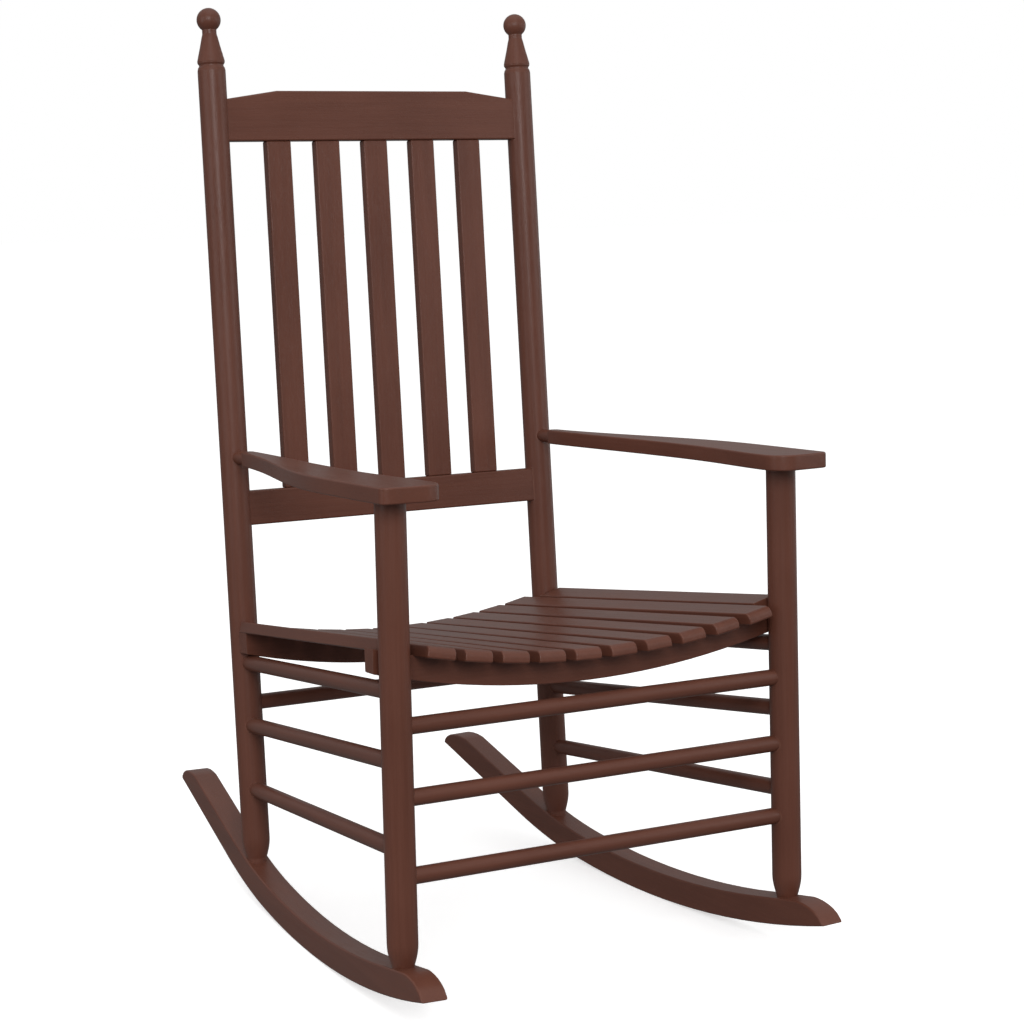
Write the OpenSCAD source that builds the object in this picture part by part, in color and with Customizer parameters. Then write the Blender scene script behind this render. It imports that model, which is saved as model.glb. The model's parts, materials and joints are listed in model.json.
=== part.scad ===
// Rocking chair: four turned posts on two rockers, joined by round rungs, with a dished
// seat of fanned slats, a slatted back between two rails, and a pair of flat armrests.
// Millimetres, +Z up. X = 0 is the chair's middle plane, the chair faces -Y, and the
// origin is on the floor below the middle of the rockers' length.

/* [Posts] */
// Height of the chair, from the floor to the top of the ball finials
chair_h = 1180; // [1150:5:1220]
// Diameter of the four posts
post_d = 37; // [35:0.5:39]
// Diameter of the ball finials
ball_d = 32; // [30:0.5:34]

/* [Back] */
// Width of each back slat
back_slat_w = 35.7; // [28:0.1:40]
// Distance between the centres of neighbouring back slats
back_slat_pitch = 72.3; // [66:0.1:76]
// Thickness of the crest rail and of the lower back rail
rail_t = 20; // [19:0.5:22]

/* [Seat] */
// Width of each seat slat
seat_slat_w = 35.7; // [34:0.1:37]
// Thickness of the seat slats and of the back slats
slat_t = 14.5; // [13:0.5:15]
// Height of the underside of the seat's middle line, where it passes the front posts
seat_h = 403.6; // [402:0.2:405]

/* [Arms] */
// Thickness of the armrests
arm_t = 19.5; // [18:0.5:21]

/* [Rungs] */
// Diameter of the ten rungs
rung_d = 20.4; // [18:0.2:21]

/* [Rockers] */
// Width of each rocker, seen from the front
rocker_w = 33; // [30:0.5:36]
// Height of the rocker board, square to its curve
rocker_h = 35; // [34:0.5:36.5]

/* [Hidden] */
SIDES = ["left", "right"];
SEAT_SLATS = 12;
BACK_SLATS = 5;
$fn = 64;
eps = 0.01;
wood = [0.34, 0.22, 0.18];
steel = [0.62, 0.60, 0.56];
cut = 1; // how far a bore runs on past a face or past the end of its tenon

// Posts. Each stands in its own frame: z runs up its axis from floor level, and the
// frame leans back by the angle given here.
post_r = post_d / 2;
front_x = 273.1;
front_y = -346.8;
front_lean = 3.32;
back_x = 233;
back_y = 153.1;
back_lean = 6.72;
front_foot = 67.2; // where the front foot meets the rocker, along the axis
back_foot = 57; // where the back foot meets the rocker, along the axis
foot_r = 13.2;
foot_taper = 27;
foot_plug = 8; // how deep the foot's end is let into the rocker
foot_steps = 6;
ball_r = ball_d / 2;
ball_z = (chair_h - ball_r) / cos(back_lean);
finial_h = 67; // from the ball's centre down to the post's full diameter
neck_top = 10; // the neck ends inside the ball, this far below its centre

// Armrests lie square across the tops of the front posts.
arm_z = 612;
arm_pin_r = 10;
arm_pin_len = 13;
arm_neck_x = -40; // centre of the rear end, in the front post's frame
arm_neck_r = 9.5;
arm_neck_y = 485; // where the board's round rear end begins
arm_tenon_r = 9;
arm_tenon_root = 6; // how far the round tenon starts inside the board
arm_tenon_end = 530; // inner end of the round tenon, 14 deep in the back post

// Rungs, top to bottom: front rungs by their height, side rungs by their height at the
// front and at the back post. Their ends stop short of the posts' axes by rung_stop.
front_rung_z = [347.3, 263.5, 171.5];
side_rung_z = [[388.5, 317.2], [306.2, 234.3], [203.5, 149.3]];
rear_rung_z = 262.8;
rung_stop = 3;

// Back rails, measured along the back posts' lean.
lower_rail_z = [501.4, 547.2];
crest_z = 1011.6;
crest_mid_h = 66.7;
crest_flat = 144; // half length of the crest rail's level top
crest_fall = 0.146; // slope of its top beyond that
rail_end = back_x - 8;
tenon_len = 12;
tenon_inset = 4;

// Seat: a cone with a level-sided fan. Its slats lie along straight generators, their
// undersides on a dish that tightens towards the rear as the slats close up.
dish_r = 1140; // radius of the dish at the front posts
apex = 3475; // distance from there back to the point where the slats would meet
seat_fall = 0.1415; // drop of the middle line for each millimetre to the rear
slat_step = 50.2 / dish_r * 180 / PI; // degrees from slat to slat
inner_slat_end = 547;
nose_top_r = 9; // the inner slats' front ends are rounded, most at the top
nose_low_r = 3;
side_slat_r = 1.5; // the side slats' front ends have only their edges taken off
side_slat = [44, 520]; // the two outer slats fit between the front and back posts
side_slat_steps = [5.35, 5.47]; // and close up a little, more at their front ends
apron_t = 21.5;
apron_h = 29.6;
apron_lap = 1.4; // depth of the slats' housings at the middle of an apron's top
apron_flat = 0.5; // depth of the flat on a post where an apron bears
front_apron_end = 291.5;
rear_apron_end = 247.5;
front_apron_mid = 51; // middles of the aprons' thickness, behind the front posts
rear_apron_mid = 509;
front_apron_y = post_r - apron_flat; // in the front post's frame
rear_apron_y = -post_r + apron_flat - apron_t; // in the back post's frame

// Rockers: boards on edge that toe in to the rear. Their lower edge is a long arc under
// the seat, a tighter arc behind it, and a straight run out to the tail.
rocker_x = 250.4; // centre plane's distance from the middle, at rocker_mid
rocker_mid = -70.3;
toe_in = 4.44;
long_r = 1350;
long_centre = -55.8; // the rocker's lowest point, under the sitter
long_front = -16.26; // arc angles, in degrees from straight down
long_back = 5.87;
short_r = 780;
short_back = 17.2;
tail_len = 209;
long_steps = 16; // straight steps in each arc of the outline
short_steps = 8;
top_start = 4; // the board's upper edge starts this many steps behind its tip
// Rounded ends of the board, from the end of its sole: [to the rear, up]
tail_curve = [[-3, 6], [-9, 16], [-33, 21], [-59, 17]];
tip_curve = [[55, 18.5], [40, 20], [14, 17], [4, 4]];

// Screws: [shank diameter, head diameter, length]
slat_screw = [4, 8, 36.5];
apron_screw = [5, 10, 44];
rocker_screw = [6, 11, 62];
arm_screw = [5, 10, 50];
screw_tip_d = 0.4;
slat_screw_reach = 9.5; // how far a slat screw's point goes into its slat
side_screw_shift = 10; // keeps the side slats' screws clear of the apron screws
rear_apron_screw_y = 12; // heads' faces, sunk behind the back posts' axes
arm_screw_y = 552.5; // heads' faces, in the front post's frame
rocker_screw_drop = 31; // heads' faces below the rockers' upper edges
// Length of the counterbore that leads to each kind of head
slat_bore = 5;
post_bore = 12;
rocker_bore = 20;

function side_of(s) = s == "left" ? -1 : 1;
function front_axis(z) = [0, front_y + z * tan(front_lean), z];
function back_axis(z) = [0, back_y + z * tan(back_lean), z];

// The seat's dish, at a slat's angle and a distance y behind the front posts
function dish_at(y) = dish_r * (1 - y / apex);
function seat_point(angle, y) = [
    dish_at(y) * sin(angle),
    front_y + y,
    seat_h - seat_fall * y + dish_at(y) * (1 - cos(angle))
];
function unit(v) = v / norm(v);
function bezier(p, n) = [
    for (i = [0:n]) let (t = i / n, u = 1 - t)
        u * u * u * p[0] + 3 * u * u * t * p[1] + 3 * u * t * t * p[2] + t * t * t * p[3]
];
function is_side(i) = i == 1 || i == SEAT_SLATS;

// A slat's underside on its centre line, at each end
function slat_span(i) = is_side(i) ? side_slat : [0, inner_slat_end];
function slat_steps(i) = is_side(i)
    ? side_slat_steps * (i == 1 ? -1 : 1)
    : [1, 1] * (i - (SEAT_SLATS + 1) / 2);
function slat_end(i, k) = seat_point(slat_steps(i)[k] * slat_step, slat_span(i)[k]);
function slat_length(i) = norm(slat_end(i, 1) - slat_end(i, 0));

module on_front_post(s) {
    translate([side_of(s) * front_x, front_y, 0]) rotate([-front_lean, 0, 0]) children();
}

module on_back_post(s) {
    translate([side_of(s) * back_x, back_y, 0]) rotate([-back_lean, 0, 0]) children();
}

module on_back() {
    translate([0, back_y, 0]) rotate([-back_lean, 0, 0]) children();
}

// Places its children on a slat's underside at a distance y behind the front posts: x
// across the slat, y along it, z up through it
module on_slat(i, y) {
    a = slat_end(i, 0);
    b = slat_end(i, 1);
    angle = (slat_steps(i)[0] + slat_steps(i)[1]) / 2 * slat_step;
    p = a + (b - a) * (y - slat_span(i)[0]) / (slat_span(i)[1] - slat_span(i)[0]);
    along = unit(b - a);
    level = [cos(angle), 0, sin(angle)];
    across = unit(level - (level * along) * along);
    up = cross(across, along);
    multmatrix([for (k = [0:2]) [across[k], along[k], up[k], p[k]]]) children();
}

// A round bar from point a to point b
module bar(a, b, d) {
    v = b - a;
    translate(a) rotate([0, acos(v[2] / norm(v)), atan2(v[1], v[0])])
        cylinder(d = d, h = norm(v));
}

// A board outline drawn in x and z, made thick about y = 0
module upright_board(t) {
    rotate([90, 0, 0]) translate([0, 0, -t / 2]) linear_extrude(t) children();
}

// Countersunk screw, its head's face at z = 0 and its point up
module screw(size) {
    head_h = (size[1] - size[0]) / 2;
    point = size[0];
    cylinder(d1 = size[1], d2 = size[0], h = head_h);
    cylinder(d = size[0], h = size[2] - point);
    translate([0, 0, size[2] - point]) cylinder(d1 = size[0], d2 = screw_tip_d, h = point);
}

// The hole for a screw whose head is sunk to the given depth
module screw_hole(size, depth) {
    screw(size);
    translate([0, 0, -depth]) cylinder(d = size[1], h = depth + eps);
}

// The turned foot and its plug, up to the post's full diameter
module foot(z) {
    translate([0, 0, z - foot_plug]) cylinder(r = foot_r, h = foot_plug + eps);
    rotate_extrude() polygon(concat(
        [[0, z]],
        [for (k = [0:foot_steps]) let (t = k / foot_steps)
            [foot_r + (post_r - foot_r) * sin(90 * t), z + foot_taper * t]],
        [[0, z + foot_taper]]
    ));
}

// Groove, bell and neck below the ball, as [radius, distance below the ball's centre]
module finial() {
    bell = [[post_r, finial_h], [post_r - 0.8, 63.5], [post_r - 2.3, 61], [post_r - 2.3, 59.5],
        [post_r - 0.6, 57], [post_r - 0.3, 54.5], [post_r - 1.1, 51], [15.7, 44],
        [13.9, 37], [12.3, 30], [10.75, 23], [9.5, 18.5], [9.5, neck_top]];
    translate([0, 0, ball_z]) {
        sphere(r = ball_r);
        rotate_extrude() polygon(concat(
            [[0, -neck_top]], [for (i = [len(bell) - 1:-1:0]) [bell[i][0], -bell[i][1]]],
            [[0, -finial_h]]
        ));
    }
}

module side_rung_solid(s, i, stop) {
    x = side_of(s);
    a = front_axis(side_rung_z[i - 1][0]) + [x * front_x, 0, 0];
    b = back_axis(side_rung_z[i - 1][1]) + [x * back_x, 0, 0];
    step = unit(b - a) * stop;
    bar(a + step, b - step, rung_d);
}

module cross_rung_solid(middle, half, stop) {
    bar(middle - [half - stop, 0, 0], middle + [half - stop, 0, 0], rung_d);
}

module front_rung_solid(i, stop) {
    cross_rung_solid(front_axis(front_rung_z[i - 1]), front_x, stop);
}

module rear_rung_solid(stop) {
    cross_rung_solid(back_axis(rear_rung_z), back_x, stop);
}

// Plan of the right armrest about its front post: x outwards, y to the rear
module arm_plan() {
    neck_out = [arm_neck_x + arm_neck_r, arm_neck_y];
    neck_in = [arm_neck_x - arm_neck_r, arm_neck_y];
    outer = bezier([[36, 95], [36, 245], [-15, 335], neck_out], 16);
    inner = bezier([neck_in, [-47, 375], [-35, 290], [-34, 165]], 8);
    paddle = bezier([[-34, 165], [-33, 85], [-44, 30], [-44, -27]], 8);
    nose = bezier([[-44, -27], [-44, -46], [-34, -57], [-16, -57]], 8);
    corner = bezier([[26, -53], [32, -52], [36, -49], [36, -42]], 4);
    translate([arm_neck_x, arm_neck_y]) circle(arm_neck_r);
    polygon(concat(
        outer, inner, [for (k = [1:8]) paddle[k]], [for (k = [1:8]) nose[k]], corner
    ));
}

module armrest_solid(s) {
    side = side_of(s);
    on_front_post(s) translate([0, 0, arm_z]) {
        scale([side, 1, 1]) linear_extrude(arm_t) arm_plan();
        bar([side * arm_neck_x, arm_neck_y - arm_tenon_root, arm_t / 2],
            [side * arm_neck_x, arm_tenon_end, arm_t / 2], 2 * arm_tenon_r);
    }
}

module crest_solid() {
    drop = crest_fall * (rail_end - crest_flat);
    top = crest_z + crest_mid_h;
    on_back() upright_board(rail_t) polygon([
        [-rail_end, crest_z], [rail_end, crest_z], [rail_end, top - drop],
        [crest_flat, top], [-crest_flat, top], [-rail_end, top - drop]
    ]);
}

module lower_rail_solid() {
    on_back() translate([-rail_end, -rail_t / 2, lower_rail_z[0]])
        cube([2 * rail_end, rail_t, lower_rail_z[1] - lower_rail_z[0]]);
}

// A back slat with a shouldered tenon at each end
module back_slat_solid(i) {
    foot_z = lower_rail_z[1];
    run = crest_z - foot_z;
    tenon_w = back_slat_w - 2 * tenon_inset;
    tenon_t = slat_t - 2 * tenon_inset;
    on_back() translate([(i - (BACK_SLATS + 1) / 2) * back_slat_pitch, 0, foot_z]) {
        translate([-back_slat_w / 2, -slat_t / 2, 0]) cube([back_slat_w, slat_t, run]);
        translate([-tenon_w / 2, -tenon_t / 2, -tenon_len])
            cube([tenon_w, tenon_t, run + 2 * tenon_len]);
    }
}

// Side view of a seat slat: x along it from its front end, y up
module slat_profile(length, nosed) {
    top_r = nosed ? nose_top_r : side_slat_r;
    low_r = nosed ? nose_low_r : side_slat_r;
    difference() {
        square([length, slat_t]);
        difference() {
            translate([-eps, slat_t - top_r]) square(top_r + eps);
            translate([top_r, slat_t - top_r]) circle(top_r);
        }
        difference() {
            translate([-eps, -eps]) square(low_r + eps);
            translate([low_r, low_r]) circle(low_r);
        }
    }
}

module seat_slat_solid(i) {
    on_slat(i, slat_span(i)[0]) rotate([90, 0, 90]) translate([0, 0, -seat_slat_w / 2])
        linear_extrude(seat_slat_w) slat_profile(slat_length(i), !is_side(i));
}

// An arched apron's outline: level ends, and edges that follow the seat's dish
module apron_outline(half, z, r) {
    steps = 12;
    edge = [for (k = [-steps:steps]) let (x = half * k / steps) [x, z + r - sqrt(r * r - x * x)]];
    polygon(concat(edge, [for (k = [2 * steps:-1:0]) edge[k] + [0, apron_h]]));
}

// Lowest points of the aprons' lower edges, measured along the posts they are fixed to
function apron_low(mid, y, lean) =
    (seat_h - seat_fall * mid + apron_lap - apron_h + y * sin(lean)) / cos(lean);
front_apron_z = apron_low(front_apron_mid, front_apron_y + apron_t / 2, front_lean);
rear_apron_z = apron_low(rear_apron_mid, rear_apron_y + apron_t / 2, back_lean);

module front_apron_board() {
    translate([0, front_y, 0]) rotate([-front_lean, 0, 0])
        translate([0, front_apron_y + apron_t / 2, 0]) upright_board(apron_t)
            apron_outline(front_apron_end, front_apron_z, dish_at(front_apron_mid));
}

module rear_apron_board() {
    on_back() translate([0, rear_apron_y + apron_t / 2, 0]) upright_board(apron_t)
        apron_outline(rear_apron_end, rear_apron_z, dish_at(rear_apron_mid));
}

// Places its children at each slat screw over an apron, z up from the head's face. The
// side slats' screws stand clear of the screws that hold the apron to its posts.
module at_slat_screws(mid) {
    for (i = [1:SEAT_SLATS]) {
        shift = is_side(i) ? (i == 1 ? side_screw_shift : -side_screw_shift) : 0;
        on_slat(i, mid) translate([shift, 0, slat_screw_reach - slat_screw[2]]) children();
    }
}

module at_front_apron_screws() {
    z = front_apron_z + apron_h / 2 + front_x * front_x / (2 * dish_r);
    for (s = SIDES) on_front_post(s)
        translate([0, front_apron_y + apron_t, z]) rotate([90, 0, 0]) children();
}

// These go through the posts from behind
module at_rear_apron_screws() {
    z = rear_apron_z + apron_h / 2 + back_x * back_x / (2 * dish_at(rear_apron_mid));
    for (s = SIDES) on_back_post(s)
        translate([0, rear_apron_screw_y, z]) rotate([90, 0, 0]) children();
}

// Outline of a rocker from the side: x to the rear, y up, x = 0 at its lowest point
module rocker_outline() {
    short_centre = (long_r - short_r) * [sin(long_back), -cos(long_back)] + [0, long_r];
    tail = short_centre + short_r * [sin(short_back), -cos(short_back)];
    tail_end = tail + tail_len * [cos(short_back), sin(short_back)];
    sole = concat(
        [for (k = [0:long_steps]) let (a = long_front + (long_back - long_front) * k / long_steps)
            long_r * [sin(a), -cos(a)] + [0, long_r]],
        [for (k = [1:short_steps]) let (a = long_back + (short_back - long_back) * k / short_steps)
            short_centre + short_r * [sin(a), -cos(a)]]
    );
    top = [for (k = [top_start:len(sole) - 1])
        k <= long_steps
            ? [0, long_r] + (sole[k] - [0, long_r]) * (long_r - rocker_h) / long_r
            : short_centre + (sole[k] - short_centre) * (short_r - rocker_h) / short_r];
    tip = sole[0];
    polygon(concat(
        sole, [tail_end],
        bezier([for (d = tail_curve) tail_end + d], 6),
        [for (k = [len(top) - 1:-1:0]) top[k]],
        bezier([for (d = tip_curve) tip + d], 6)
    ));
}

module rocker_board(s) {
    translate([side_of(s) * rocker_x, rocker_mid, 0]) rotate([0, 0, side_of(s) * toe_in])
        rotate([90, 0, 90]) translate([long_centre - rocker_mid, 0, -rocker_w / 2])
            linear_extrude(rocker_w) rocker_outline();
}

module at_rocker_screws(s) {
    on_front_post(s) translate([0, 0, front_foot - rocker_screw_drop]) children();
    on_back_post(s) translate([0, 0, back_foot - rocker_screw_drop]) children();
}

// Screw through the back of the post into the armrest's tenon
module at_arm_screw(s) {
    on_front_post(s) translate([side_of(s) * arm_neck_x, arm_screw_y, arm_z + arm_t / 2])
        rotate([90, 0, 0]) children();
}

module front_post(s) {
    color(wood) difference() {
        on_front_post(s) {
            foot(front_foot);
            translate([0, 0, front_foot + foot_taper - eps])
                cylinder(r = post_r, h = arm_z - front_foot - foot_taper + eps);
            translate([0, 0, arm_z - eps]) cylinder(r = arm_pin_r, h = arm_pin_len);
        }
        for (i = [1:3]) {
            front_rung_solid(i, rung_stop - cut);
            side_rung_solid(s, i, rung_stop - cut);
        }
        front_apron_board();
        at_front_apron_screws() screw_hole(apron_screw, cut);
        at_rocker_screws(s) screw(rocker_screw);
    }
}

module back_post(s) {
    color(wood) difference() {
        on_back_post(s) {
            foot(back_foot);
            translate([0, 0, back_foot + foot_taper - eps])
                cylinder(r = post_r, h = ball_z - finial_h - back_foot - foot_taper + 2 * eps);
            finial();
        }
        for (i = [1:3]) side_rung_solid(s, i, rung_stop - cut);
        rear_rung_solid(rung_stop - cut);
        rear_apron_board();
        at_rear_apron_screws() screw_hole(apron_screw, post_bore);
        lower_rail_solid();
        crest_solid();
        armrest_solid(s);
        at_arm_screw(s) screw_hole(arm_screw, post_bore);
        at_rocker_screws(s) screw(rocker_screw);
    }
}

module rocker(s) {
    color(wood) difference() {
        rocker_board(s);
        on_front_post(s) foot(front_foot);
        on_back_post(s) foot(back_foot);
        at_rocker_screws(s) screw_hole(rocker_screw, rocker_bore);
    }
}

module armrest(s) {
    color(wood) difference() {
        armrest_solid(s);
        on_front_post(s) translate([0, 0, arm_z - cut])
            cylinder(r = arm_pin_r, h = arm_pin_len + 2 * cut);
        at_arm_screw(s) screw(arm_screw);
    }
}

module crest_rail() {
    color(wood) difference() {
        crest_solid();
        for (i = [1:BACK_SLATS]) back_slat_solid(i);
    }
}

module lower_back_rail() {
    color(wood) difference() {
        lower_rail_solid();
        for (i = [1:BACK_SLATS]) back_slat_solid(i);
    }
}

module back_slat(i) {
    color(wood) back_slat_solid(i);
}

module seat_apron_front() {
    color(wood) difference() {
        front_apron_board();
        for (i = [1:SEAT_SLATS]) seat_slat_solid(i);
        at_slat_screws(front_apron_mid) screw_hole(slat_screw, slat_bore);
        at_front_apron_screws() screw_hole(apron_screw, cut);
    }
}

module seat_apron_rear() {
    color(wood) difference() {
        rear_apron_board();
        for (i = [1:SEAT_SLATS]) seat_slat_solid(i);
        at_slat_screws(rear_apron_mid) screw_hole(slat_screw, slat_bore);
        at_rear_apron_screws() screw(apron_screw);
    }
}

module seat_slat(i) {
    color(wood) difference() {
        seat_slat_solid(i);
        at_slat_screws(front_apron_mid) screw(slat_screw);
        at_slat_screws(rear_apron_mid) screw(slat_screw);
    }
}

module front_rung(i) {
    color(wood) front_rung_solid(i, rung_stop);
}

module side_rung(s, i) {
    color(wood) side_rung_solid(s, i, rung_stop);
}

module rear_rung() {
    color(wood) rear_rung_solid(rung_stop);
}

module seat_slat_screws() {
    color(steel) for (mid = [front_apron_mid, rear_apron_mid])
        at_slat_screws(mid) screw(slat_screw);
}

module apron_screws() {
    color(steel) {
        at_front_apron_screws() screw(apron_screw);
        at_rear_apron_screws() screw(apron_screw);
    }
}

module rocker_screws() {
    color(steel) for (s = SIDES) at_rocker_screws(s) screw(rocker_screw);
}

module arm_screws() {
    color(steel) for (s = SIDES) at_arm_screw(s) screw(arm_screw);
}

for (s = SIDES) {
    front_post(s);
    back_post(s);
    rocker(s);
    armrest(s);
    for (i = [1:3]) side_rung(s, i);
}
for (i = [1:3]) front_rung(i);
for (i = [1:BACK_SLATS]) back_slat(i);
for (i = [1:SEAT_SLATS]) seat_slat(i);
crest_rail();
lower_back_rail();
seat_apron_front();
seat_apron_rear();
rear_rung();
seat_slat_screws();
apron_screws();
rocker_screws();
arm_screws();
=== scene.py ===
"""Rocking chair in satin dark brown paint, standing in a plain pale studio.

Metres, +Z up, the chair faces -Y. The boards are copies of the CAD nodes with their edges
rounded over; the posts, rungs and screws are the CAD nodes themselves. Each wooden piece
has its own grain, which runs along its length.
"""
import json
import math

import bmesh
import bpy
import numpy as np
from mathutils import Matrix, Vector


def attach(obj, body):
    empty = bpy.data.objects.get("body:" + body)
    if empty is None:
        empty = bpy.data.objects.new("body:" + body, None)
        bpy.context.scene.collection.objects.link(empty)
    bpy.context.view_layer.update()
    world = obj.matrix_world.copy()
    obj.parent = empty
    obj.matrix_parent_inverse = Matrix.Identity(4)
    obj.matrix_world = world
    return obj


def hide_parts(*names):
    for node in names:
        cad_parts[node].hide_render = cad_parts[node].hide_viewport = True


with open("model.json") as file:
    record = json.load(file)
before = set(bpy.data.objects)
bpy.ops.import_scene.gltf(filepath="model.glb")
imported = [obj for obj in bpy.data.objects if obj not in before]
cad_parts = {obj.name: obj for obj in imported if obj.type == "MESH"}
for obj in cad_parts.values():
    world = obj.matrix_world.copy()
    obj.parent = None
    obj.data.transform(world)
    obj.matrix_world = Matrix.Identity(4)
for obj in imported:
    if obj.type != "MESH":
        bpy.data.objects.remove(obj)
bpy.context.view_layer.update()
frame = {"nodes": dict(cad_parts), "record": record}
nodes = frame["nodes"]
slot_of = {part["node"]: part["material_slot"] for part in frame["record"]["subparts"]}

# Paint: linear colours of the brown coat, in its hollows and where it is rubbed thin; the
# rubbed-thin colour is also a painted highlight along the edges
PAINT = (0.156, 0.0560, 0.0360)
PAINT_DARK = (0.108, 0.0370, 0.0230)
PAINT_WORN_AND_HIGHLIGHT = (0.205, 0.090, 0.062)
STEEL = (0.55, 0.53, 0.50)
STEEL_STAINED = (0.42, 0.40, 0.36)
PAINT_SPECULAR = 0.30
PAINT_ROUGHNESS = 0.27  # at its smoothest, before fibres and drift add to it
PAINT_RELIEF = 0.0003  # height of the fibres that telegraph through the coat
WEAR_AND_HIGHLIGHT_REACH = 0.0035  # how far the thin paint, which is also a painted edge highlight, reaches in from an edge
# strength of the lighter edge colour, partly wear and partly a painted highlight
WEAR_AND_HIGHLIGHT = 0.75

# How far the boards' edges are rounded over, and the angle that counts as an edge
ROUND_OVER = {"armrest": 0.0022, "rocker": 0.0026, "crest_rail": 0.0024,
              "lower_back_rail": 0.0024, "back_slat": 0.0020, "seat_slat": 0.0016,
              "seat_apron": 0.0015}
SHARP = math.radians(35)
FLAT = math.radians(0.5)  # faces that meet at less than this are one face
WELD = 1e-6
BORE = 0.045  # an edge loop smaller than this is a bore or a mortise, which stays crisp

# Studio: each soft light's place, diameter and power, all aimed at the chair's middle
MIDDLE = (0, 0, 0.55)
LIGHTS = {
    "key": ((-1.9, -3.9, 2.6), 2.2, 92),
    "fill": ((3.4, -2.6, 1.6), 2.6, 26),
    "side": ((-4.2, -0.3, 1.5), 2.6, 26),
    "right": ((4.6, 0.9, 0.8), 2.6, 12),
    "top": ((0.0, -0.6, 4.2), 3.0, 12),
}
FLOOR_HALF = 14.0
FLOOR_GLOW = 0.60

# Camera: level with the crest rail, in front of the chair and to the sitter's right
CAMERA_PLACE = (-1.5857, -2.8846, 1.0775)
CAMERA_HEADING = math.radians(-29.789)
CAMERA_PITCH = math.radians(-7.848)
CAMERA_ROLL = math.radians(0.2413)
CAMERA_LENS = 90.0
CAMERA_SHIFT = -0.07


def long_axis(mesh):
    """Unit vector along a mesh's length, always pointing the same way round."""
    co = np.array([v.co for v in mesh.vertices], float)
    _, vectors = np.linalg.eigh(np.cov((co - co.mean(0)).T))
    axis = vectors[:, 2]
    axis = axis * (1 if axis[np.argmax(abs(axis))] > 0 else -1)
    return Vector(axis)


def link(tree, source, target):
    tree.links.new(source, target)


def node(tree, kind, **settings):
    made = tree.nodes.new(kind)
    for key, value in settings.items():
        if key in made.inputs:
            made.inputs[key].default_value = value
        else:
            setattr(made, key, value)
    return made


def maths(tree, operation, a, b):
    made = tree.nodes.new("ShaderNodeMath")
    made.operation = operation
    for socket, value in zip(made.inputs, (a, b)):
        if isinstance(value, (int, float)):
            socket.default_value = value
        else:
            link(tree, value, socket)
    return made.outputs[0]


def ramp(tree, source, low, high, invert=False):
    """source mapped from low..high to 0..1, or to 1..0."""
    made = tree.nodes.new("ShaderNodeMapRange")
    made.inputs["From Min"].default_value = low
    made.inputs["From Max"].default_value = high
    made.inputs["To Min"].default_value = 1.0 if invert else 0.0
    made.inputs["To Max"].default_value = 0.0 if invert else 1.0
    link(tree, source, made.inputs["Value"])
    return made.outputs["Result"]


def mix(tree, factor, a, b):
    made = tree.nodes.new("ShaderNodeMix")
    made.data_type = "RGBA"
    link(tree, factor, made.inputs["Factor"])
    for name, value in (("A", a), ("B", b)):
        socket = [s for s in made.inputs if s.name == name and s.type == "RGBA"][0]
        if isinstance(value, tuple):
            socket.default_value = (*value, 1.0)
        else:
            link(tree, value, socket)
    return [s for s in made.outputs if s.type == "RGBA"][0]


def noise(tree, vector, scale, detail, rough=0.5, distort=0.0):
    made = node(tree, "ShaderNodeTexNoise", Scale=scale, Detail=detail, Roughness=rough,
                Distortion=distort)
    link(tree, vector, made.inputs["Vector"])
    return made.outputs["Fac"]


def stretched(tree, vector, across, along):
    made = node(tree, "ShaderNodeMapping", vector_type="POINT")
    made.inputs["Scale"].default_value = (across, across, along)
    link(tree, vector, made.inputs["Vector"])
    return made.outputs["Vector"]


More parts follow.
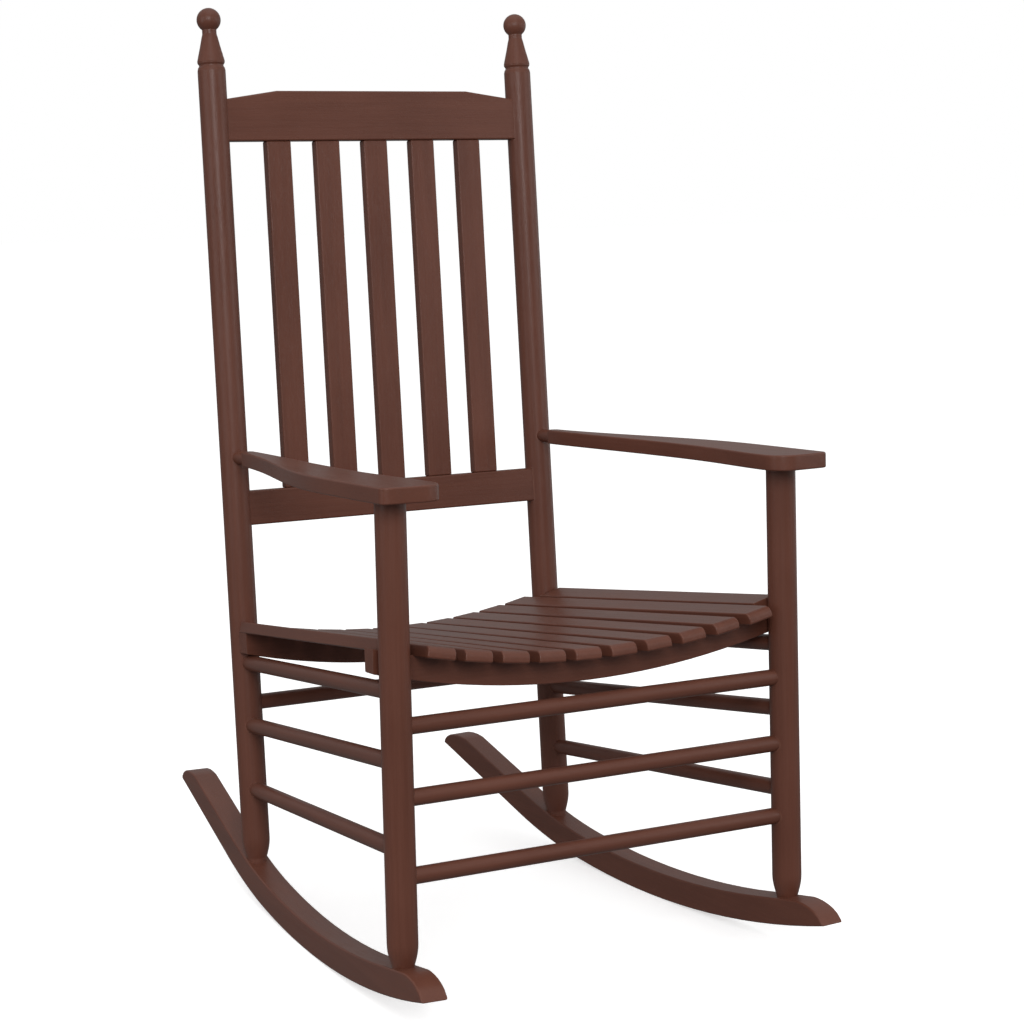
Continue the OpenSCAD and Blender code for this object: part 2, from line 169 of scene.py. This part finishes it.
def painted_wood(name, axis, seed):
    """Satin paint over close-grained wood whose fibres run along axis."""
    material = bpy.data.materials.new(name)
    material.use_nodes = True
    tree = material.node_tree
    shader = tree.nodes["Principled BSDF"]
    place = tree.nodes.new("ShaderNodeTexCoord")
    turn = node(tree, "ShaderNodeMapping", vector_type="POINT")
    to_grain = axis.rotation_difference(Vector((0, 0, 1))).to_euler()
    turn.inputs["Rotation"].default_value = to_grain
    turn.inputs["Location"].default_value = (0.37 * seed, 0.61 * seed, 1.13 * seed)
    link(tree, place.outputs["Object"], turn.inputs["Vector"])
    board = turn.outputs["Vector"]

    figure = noise(tree, stretched(tree, board, 1, 0.05), 46, 3, 0.55, 0.6)
    fibre = noise(tree, stretched(tree, board, 1, 0.022), 420, 4, 0.62)
    pores = noise(tree, stretched(tree, board, 1, 0.045), 1500, 2, 0.5)
    cloud = noise(tree, board, 7, 3, 0.5)
    spray = noise(tree, board, 900, 2, 0.5)
    edge_mark_breakup = noise(tree, stretched(tree, board, 1, 0.35), 60, 4, 0.6)

    # Colour: a broad drift, streaks along the grain, and thin paint on worn edges, which is also
    # a painted highlight along the edges
    streak = maths(tree, "ADD", maths(tree, "MULTIPLY", ramp(tree, figure, 0.35, 0.68), 0.55),
                   maths(tree, "MULTIPLY", ramp(tree, fibre, 0.3, 0.7), 0.45))
    tone = maths(tree, "ADD", maths(tree, "MULTIPLY", streak, 0.62),
                 maths(tree, "MULTIPLY", ramp(tree, cloud, 0.3, 0.7), 0.38))
    coat = mix(tree, tone, PAINT_DARK, PAINT)

    edge_normal = node(tree, "ShaderNodeBevel", Radius=WEAR_AND_HIGHLIGHT_REACH)
    edge_normal.samples = 6
    geometry = tree.nodes.new("ShaderNodeNewGeometry")
    turned = tree.nodes.new("ShaderNodeVectorMath")
    turned.operation = "DOT_PRODUCT"
    link(tree, edge_normal.outputs["Normal"], turned.inputs[0])
    link(tree, geometry.outputs["Normal"], turned.inputs[1])
    # Lighter colour along every edge: partly worn paint, partly a painted highlight
    near_edge = ramp(tree, turned.outputs["Value"], 0.80, 0.995, invert=True)
    worn_and_highlight = maths(tree, "MULTIPLY", near_edge, ramp(tree, edge_mark_breakup, 0.34, 0.62))
    colour = mix(tree, maths(tree, "MULTIPLY", worn_and_highlight, WEAR_AND_HIGHLIGHT), coat, PAINT_WORN_AND_HIGHLIGHT)
    link(tree, colour, shader.inputs["Base Color"])

    # Roughness: satin, drier in the pores and polished by hands at the edges
    rough = maths(tree, "ADD", PAINT_ROUGHNESS,
                  maths(tree, "MULTIPLY", ramp(tree, fibre, 0.25, 0.75), 0.10))
    rough = maths(tree, "ADD", rough, maths(tree, "MULTIPLY", ramp(tree, cloud, 0.3, 0.7), 0.06))
    rough = maths(tree, "SUBTRACT", rough, maths(tree, "MULTIPLY", worn_and_highlight, 0.08))
    link(tree, rough, shader.inputs["Roughness"])

    # Relief: fibres that telegraph through the coat, and the fine texture of the spray
    relief = maths(tree, "ADD", maths(tree, "MULTIPLY", fibre, 0.55),
                   maths(tree, "MULTIPLY", ramp(tree, pores, 0.30, 0.46), 0.35))
    relief = maths(tree, "ADD", relief, maths(tree, "MULTIPLY", figure, 0.5))
    relief = maths(tree, "ADD", relief, maths(tree, "MULTIPLY", spray, 0.12))
    bump = node(tree, "ShaderNodeBump", Strength=0.7, Distance=PAINT_RELIEF)
    link(tree, relief, bump.inputs["Height"])
    link(tree, bump.outputs["Normal"], shader.inputs["Normal"])
    shader.inputs["Specular IOR Level"].default_value = PAINT_SPECULAR
    return material


def screw_steel(name):
    """Zinc-plated steel with fine level marks and a faint stain."""
    material = bpy.data.materials.new(name)
    material.use_nodes = True
    tree = material.node_tree
    shader = tree.nodes["Principled BSDF"]
    place = tree.nodes.new("ShaderNodeTexCoord")
    rings = noise(tree, stretched(tree, place.outputs["Object"], 1, 6), 700, 3)
    stain = noise(tree, place.outputs["Object"], 160, 3)
    tint = mix(tree, ramp(tree, stain, 0.3, 0.7), STEEL, STEEL_STAINED)
    link(tree, tint, shader.inputs["Base Color"])
    link(tree, maths(tree, "ADD", 0.28, maths(tree, "MULTIPLY", stain, 0.18)),
         shader.inputs["Roughness"])
    shader.inputs["Metallic"].default_value = 1.0
    bump = node(tree, "ShaderNodeBump", Strength=0.4, Distance=0.0001)
    link(tree, rings, bump.inputs["Height"])
    link(tree, bump.outputs["Normal"], shader.inputs["Normal"])
    return material


def outer_edges(mesh):
    """The sharp convex edges of a board, without the rims of its bores and mortises."""
    sharp = {e for e in mesh.edges
             if len(e.link_faces) == 2 and e.calc_face_angle_signed(0.0) > SHARP}
    kept = []
    while sharp:
        front = [sharp.pop()]
        group = list(front)
        while front:
            here = front.pop()
            for near in {e for v in here.verts for e in v.link_edges} & sharp:
                sharp.discard(near)
                group.append(near)
                front.append(near)
        ends = np.array([v.co for e in group for v in e.verts])
        if np.ptp(ends, axis=0).max() > BORE:
            kept += group
    return kept


def roundable(name, mesh):
    """The outer edges with room for rounding: an apron's upper ones have none, because
    the slats' housings cut across them."""
    edges = outer_edges(mesh)
    if name.startswith("seat_apron"):
        return [e for e in edges if min(f.normal.z for f in e.link_faces) < -0.5]
    return edges


def rounded_board(name, radius):
    """A copy of a CAD board with its outer edges rounded over, which stands for it."""
    source = nodes[name]
    data = bpy.data.meshes.new("board_" + name)
    mesh = bmesh.new()
    mesh.from_mesh(source.data)
    bmesh.ops.remove_doubles(mesh, verts=mesh.verts, dist=WELD)
    bmesh.ops.dissolve_limit(mesh, angle_limit=FLAT, verts=mesh.verts, edges=mesh.edges)
    # An armrest's tenon fills most of its end, and would hold back the whole rounding
    bmesh.ops.bevel(mesh, geom=roundable(name, mesh), offset=radius, offset_type="OFFSET",
                    segments=3, profile=0.5, affect="EDGES",
                    clamp_overlap=not name.startswith("armrest"))
    for face in mesh.faces:
        face.smooth = True
    for edge in mesh.edges:
        edge.smooth = len(edge.link_faces) == 2 and edge.calc_face_angle(0.0) < SHARP
    mesh.to_mesh(data)
    mesh.free()
    board = bpy.data.objects.new("board_" + name, data)
    bpy.context.scene.collection.objects.link(board)
    normals = board.modifiers.new("even_normals", "WEIGHTED_NORMAL")
    normals.keep_sharp = True
    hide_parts(name)
    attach(board, "root")
    return board


def dress(name, index):
    """Gives a node, or the board that stands for it, its material."""
    source = nodes[name]
    if slot_of[name] == "screw_steel":
        finish = steel
        shown = source
    else:
        finish = painted_wood("paint_" + name, long_axis(source.data), index)
        radius = [r for kind, r in ROUND_OVER.items() if name.startswith(kind)]
        shown = rounded_board(name, radius[0]) if radius else source
    if shown.material_slots:
        for place in shown.material_slots:
            place.material = finish
    else:
        shown.data.materials.append(finish)


steel = screw_steel("zinc_steel")
for index, name in enumerate(sorted(nodes)):
    dress(name, index)


def studio_floor(half, glow):
    """A flat pale floor, which glows a little and throws no light back onto the chair."""
    data = bpy.data.meshes.new("studio_floor")
    data.from_pydata([(-half, -half, 0), (half, -half, 0), (half, half, 0), (-half, half, 0)],
                     [], [(0, 1, 2, 3)])
    floor = bpy.data.objects.new("studio_floor", data)
    bpy.context.scene.collection.objects.link(floor)
    material = bpy.data.materials.new("studio_floor")
    material.use_nodes = True
    tree = material.node_tree
    shader = tree.nodes["Principled BSDF"]
    place = tree.nodes.new("ShaderNodeTexCoord")
    grain = noise(tree, place.outputs["Object"], 3, 3)
    link(tree, mix(tree, grain, (0.86, 0.86, 0.86), (0.90, 0.90, 0.90)),
         shader.inputs["Base Color"])
    shader.inputs["Roughness"].default_value = 0.9
    shader.inputs["Specular IOR Level"].default_value = 0.1
    shader.inputs["Emission Color"].default_value = (1, 1, 1, 1)
    shader.inputs["Emission Strength"].default_value = glow
    data.materials.append(material)
    floor.visible_diffuse = False
    floor.visible_glossy = False


def soft_light(name, place, aim, size, watts):
    data = bpy.data.lights.new(name, "AREA")
    data.shape = "DISK"
    data.size = size
    data.energy = watts
    lamp = bpy.data.objects.new(name, data)
    bpy.context.scene.collection.objects.link(lamp)
    lamp.location = place
    lamp.rotation_euler = (Vector(aim) - Vector(place)).to_track_quat("-Z", "Y").to_euler()


def bright_room(low, high, backdrop):
    """A room whose light grows from low underfoot to high overhead, before a white wall."""
    world = bpy.data.worlds.new("room")
    world.use_nodes = True
    tree = world.node_tree
    place = tree.nodes.new("ShaderNodeTexCoord")
    parts = tree.nodes.new("ShaderNodeSeparateXYZ")
    link(tree, place.outputs["Generated"], parts.inputs["Vector"])
    height = ramp(tree, parts.outputs["Z"], -0.1, 1.0)
    glow = maths(tree, "ADD", low, maths(tree, "MULTIPLY", height, high - low))
    ray = tree.nodes.new("ShaderNodeLightPath")
    seen = maths(tree, "MULTIPLY", ray.outputs["Is Camera Ray"], backdrop)
    other = maths(tree, "SUBTRACT", 1.0, ray.outputs["Is Camera Ray"])
    link(tree, maths(tree, "ADD", seen, maths(tree, "MULTIPLY", other, glow)),
         tree.nodes["Background"].inputs["Strength"])
    tree.nodes["Background"].inputs["Color"].default_value = (1, 1, 1, 1)
    bpy.context.scene.world = world


def place_camera():
    lens = bpy.data.cameras.new("camera")
    lens.sensor_width = 36.0
    lens.lens = CAMERA_LENS
    lens.shift_y = CAMERA_SHIFT
    camera = bpy.data.objects.new("camera", lens)
    bpy.context.scene.collection.objects.link(camera)
    camera.location = CAMERA_PLACE
    camera.rotation_euler = (
        Matrix.Rotation(CAMERA_HEADING, 4, "Z")
        @ Matrix.Rotation(math.pi / 2 + CAMERA_PITCH, 4, "X")
        @ Matrix.Rotation(CAMERA_ROLL, 4, "Z")
    ).to_euler()
    bpy.context.scene.camera = camera


bpy.context.scene.view_settings.view_transform = "Standard"
studio_floor(FLOOR_HALF, FLOOR_GLOW)
bright_room(low=0.19, high=0.72, backdrop=1.0)
for name, (place, size, watts) in LIGHTS.items():
    soft_light(name, place, MIDDLE, size, watts)
place_camera()
